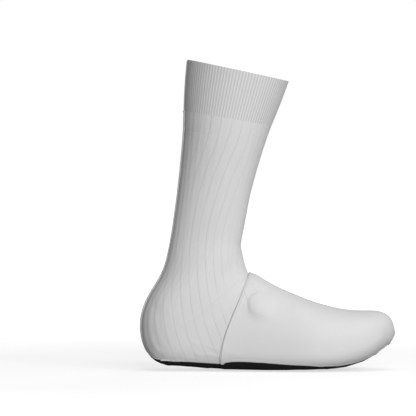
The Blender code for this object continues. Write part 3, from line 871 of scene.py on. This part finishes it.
def zigzagPlaces(surface, plan):
    # corners of the zigzag up the back strip, found from behind
    corners = []
    z, side = groundZ + plan["start"], 1
    while True:
        hit, normal = surface.ray_cast(Vector((heelX - 0.1, side * plan["half"], z)),
                                       Vector((1, 0, 0)))[:2]
        if hit is None:
            break
        corners.append((hit, normal))
        z += plan["pitch"] * max(abs(normal.x), plan["steepest"])
        side = -side
    return corners


cuff, cuffUp = makeCuff()
leg, legLines = makeLeg(cuffUp)
cover, coverLines = makeCover()
coverEdge = makeStrip("vamp_edge", "coverEdge", stripPlan["edge"], edgeFabricPaintedHighlight, "cover_fabric")[0]
backSeam = makeStrip("back_seam", "backSeam", stripPlan["back"], legKnit, "leg_knit")[0]
sole, soleLines = makeStrip("sole_panel", "solePanel", stripPlan["sole"], soleFabric, "sole_fabric")

legSurface, coverSurface, soleSurface = surfaceOf(leg), surfaceOf(cover), surfaceOf(sole)
nodeSole = surfaceOf(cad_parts["sole_panel"])
nodeEdge = surfaceOf(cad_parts["vamp_edge"])


def rowOn(lines, surface, plan, keep, across=False):
    return [place for line in lines
            for place in alongLine(line, surface, plan["pitch"], plan["inside"], keep, across)]


def nearSole(point):
    return nodeSole.find_nearest(Vector(point))[3] < stitchPlan["nearSole"]


def nearEdge(point):
    away = nodeEdge.find_nearest(Vector(point))[3]
    return away < stitchPlan["nearEdge"] and not nearSole(point)


hemPlan, overPlan, bindPlan = (stitchPlan[part] for part in ("hem", "over", "binding"))
legHem = sewStitches("legHemStitches", rowOn(legLines, legSurface, hemPlan, nearSole),
                     hemPlan["size"], whiteThread)
legOver = sewStitches("legOverStitches", rowOn(legLines, legSurface, overPlan, nearSole, True),
                      overPlan["size"], whiteThread)
coverHem = sewStitches("coverHemStitches", rowOn(coverLines, coverSurface, hemPlan, nearSole),
                       hemPlan["size"], whiteThread)
coverOver = sewStitches("coverOverStitches",
                        rowOn(coverLines, coverSurface, overPlan, nearSole, True),
                        overPlan["size"], whiteThread)
edgeRowPlan = {**hemPlan, "inside": stitchPlan["edgeInside"]}
coverRow = sewStitches("coverEdgeStitches",
                       rowOn(coverLines, coverSurface, edgeRowPlan, nearEdge),
                       hemPlan["size"], whiteThread)
bound = rowOn(openingsOf(soleLines), soleSurface, bindPlan, lambda point: True)
bound = [place for place in bound if place[2].z < bindPlan["down"]]
soleRow = sewStitches("openingStitches", bound, bindPlan["size"], blackThread)
zigzagPlan = stitchPlan["zigzag"]
corners = zigzagPlaces(surfaceOf(backSeam), zigzagPlan)
zigzag = []
for (first, firstNormal), (last, lastNormal) in zip(corners, corners[1:]):
    normal = (firstNormal + lastNormal).normalized()
    along = last - first
    along = (along - normal * along.dot(normal)).normalized()
    zigzag.append(((first + last) / 2, along, normal))
reach = (corners[1][0] - corners[0][0]).length * zigzagPlan["overlap"]
thin = zigzagPlan["thickness"]
seamRow = sewStitches("seamStitches", zigzag, (reach, thin, thin), whiteThread)


studio = {
    "floorRadius": 12.0, "floorColour": (0.42, 0.42, 0.42), "floorBelow": 0.6 * mm,
    "glowNear": 0.66, "glowFar": 1.05, "glowStart": 0.4, "glowEnd": 1.8,
    "lights": {
        "key": {"place": (1.9, -2.2, 1.5), "size": 1.1, "power": 26.0},
        "front": {"place": (0.7, -3.5, 0.9), "size": 1.6, "power": 82.0},
        "top": {"place": (0.5, -0.4, 2.8), "size": 1.6, "power": 20.0},
        "back": {"place": (1.0, 3.0, 1.6), "size": 1.6, "power": 22.0},
    },
    "world": 0.20,
}


def makeFloor(plan):
    # a pale floor that glows into the white of the backdrop; its glow lights only itself
    bpy.ops.mesh.primitive_circle_add(vertices=64, radius=plan["floorRadius"], fill_type="NGON",
                                      location=(0.0, 0.0, groundZ - plan["floorBelow"]))
    floor = bpy.context.object
    floor.name = "studioFloor"
    material, tree, shader, place = startMaterial("studioPaper")
    shader.inputs["Base Color"].default_value = (*plan["floorColour"], 1.0)
    shader.inputs["Roughness"].default_value = 1.0
    shader.inputs["Specular IOR Level"].default_value = 0.0
    far = addNode(tree, "ShaderNodeVectorMath", {0: place}, operation="LENGTH").outputs["Value"]
    glow = addNode(tree, "ShaderNodeMapRange", {
        "Value": far, "From Min": plan["glowStart"], "From Max": plan["glowEnd"],
        "To Min": plan["glowNear"], "To Max": plan["glowFar"]}).outputs[0]
    shader.inputs["Emission Color"].default_value = (1.0, 1.0, 1.0, 1.0)
    tree.links.new(glow, shader.inputs["Emission Strength"])
    floor.data.materials.append(material)
    floorOnly = bpy.data.collections.new("floorOnly")
    floorOnly.objects.link(floor)
    floor.light_linking.receiver_collection = floorOnly


def addLight(name, plan, target):
    light = bpy.data.lights.new(name, "AREA")
    light.size = plan["size"]
    light.energy = plan["power"]
    lamp = bpy.data.objects.new(name, light)
    bpy.context.collection.objects.link(lamp)
    lamp.location = plan["place"]
    way = Vector(target) - Vector(plan["place"])
    lamp.rotation_euler = way.to_track_quat("-Z", "Y").to_euler()


def makeWorld(plan):
    # dim grey light from all round, and a white background
    world = bpy.data.worlds.new("studioLight")
    world.use_nodes = True
    tree = world.node_tree
    background = tree.nodes["Background"]
    background.inputs["Color"].default_value = (1.0, 1.0, 1.0, 1.0)
    seen = addNode(tree, "ShaderNodeLightPath").outputs["Is Camera Ray"]
    strength = addNode(tree, "ShaderNodeMapRange", {
        "Value": seen, "To Min": plan["world"], "To Max": 1.0}).outputs[0]
    tree.links.new(strength, background.inputs["Strength"])
    bpy.context.scene.world = world


cameraPlan = {
    "aimX": -0.0460, "aimZ": 0.1827, "distance": 5.0, "tilt": 1.2, "field": 0.4745,
    "sensor": 36.0, "near": 0.1, "far": 50.0,
}


def addCamera(plan):
    camera = bpy.data.cameras.new("camera")
    rig = bpy.data.objects.new("camera", camera)
    bpy.context.collection.objects.link(rig)
    tilt = math.radians(plan["tilt"])
    aim = Vector((plan["aimX"], 0.0, plan["aimZ"]))
    away = Vector((0.0, -math.cos(tilt), math.sin(tilt)))
    rig.location = aim + away * plan["distance"]
    rig.rotation_euler = (-away).to_track_quat("-Z", "Y").to_euler()
    camera.sensor_width = plan["sensor"]
    camera.lens = camera.sensor_width * plan["distance"] / plan["field"]
    camera.clip_start = plan["near"]
    camera.clip_end = plan["far"]
    bpy.context.scene.camera = rig


makeFloor(studio)
makeWorld(studio)
centre = (Vector(cadBox[0]) + Vector(cadBox[1])) / 2
for lightName, lightPlan in studio["lights"].items():
    addLight(lightName, lightPlan, centre)
bpy.context.scene.view_settings.view_transform = "Standard"
addCamera(cameraPlan)
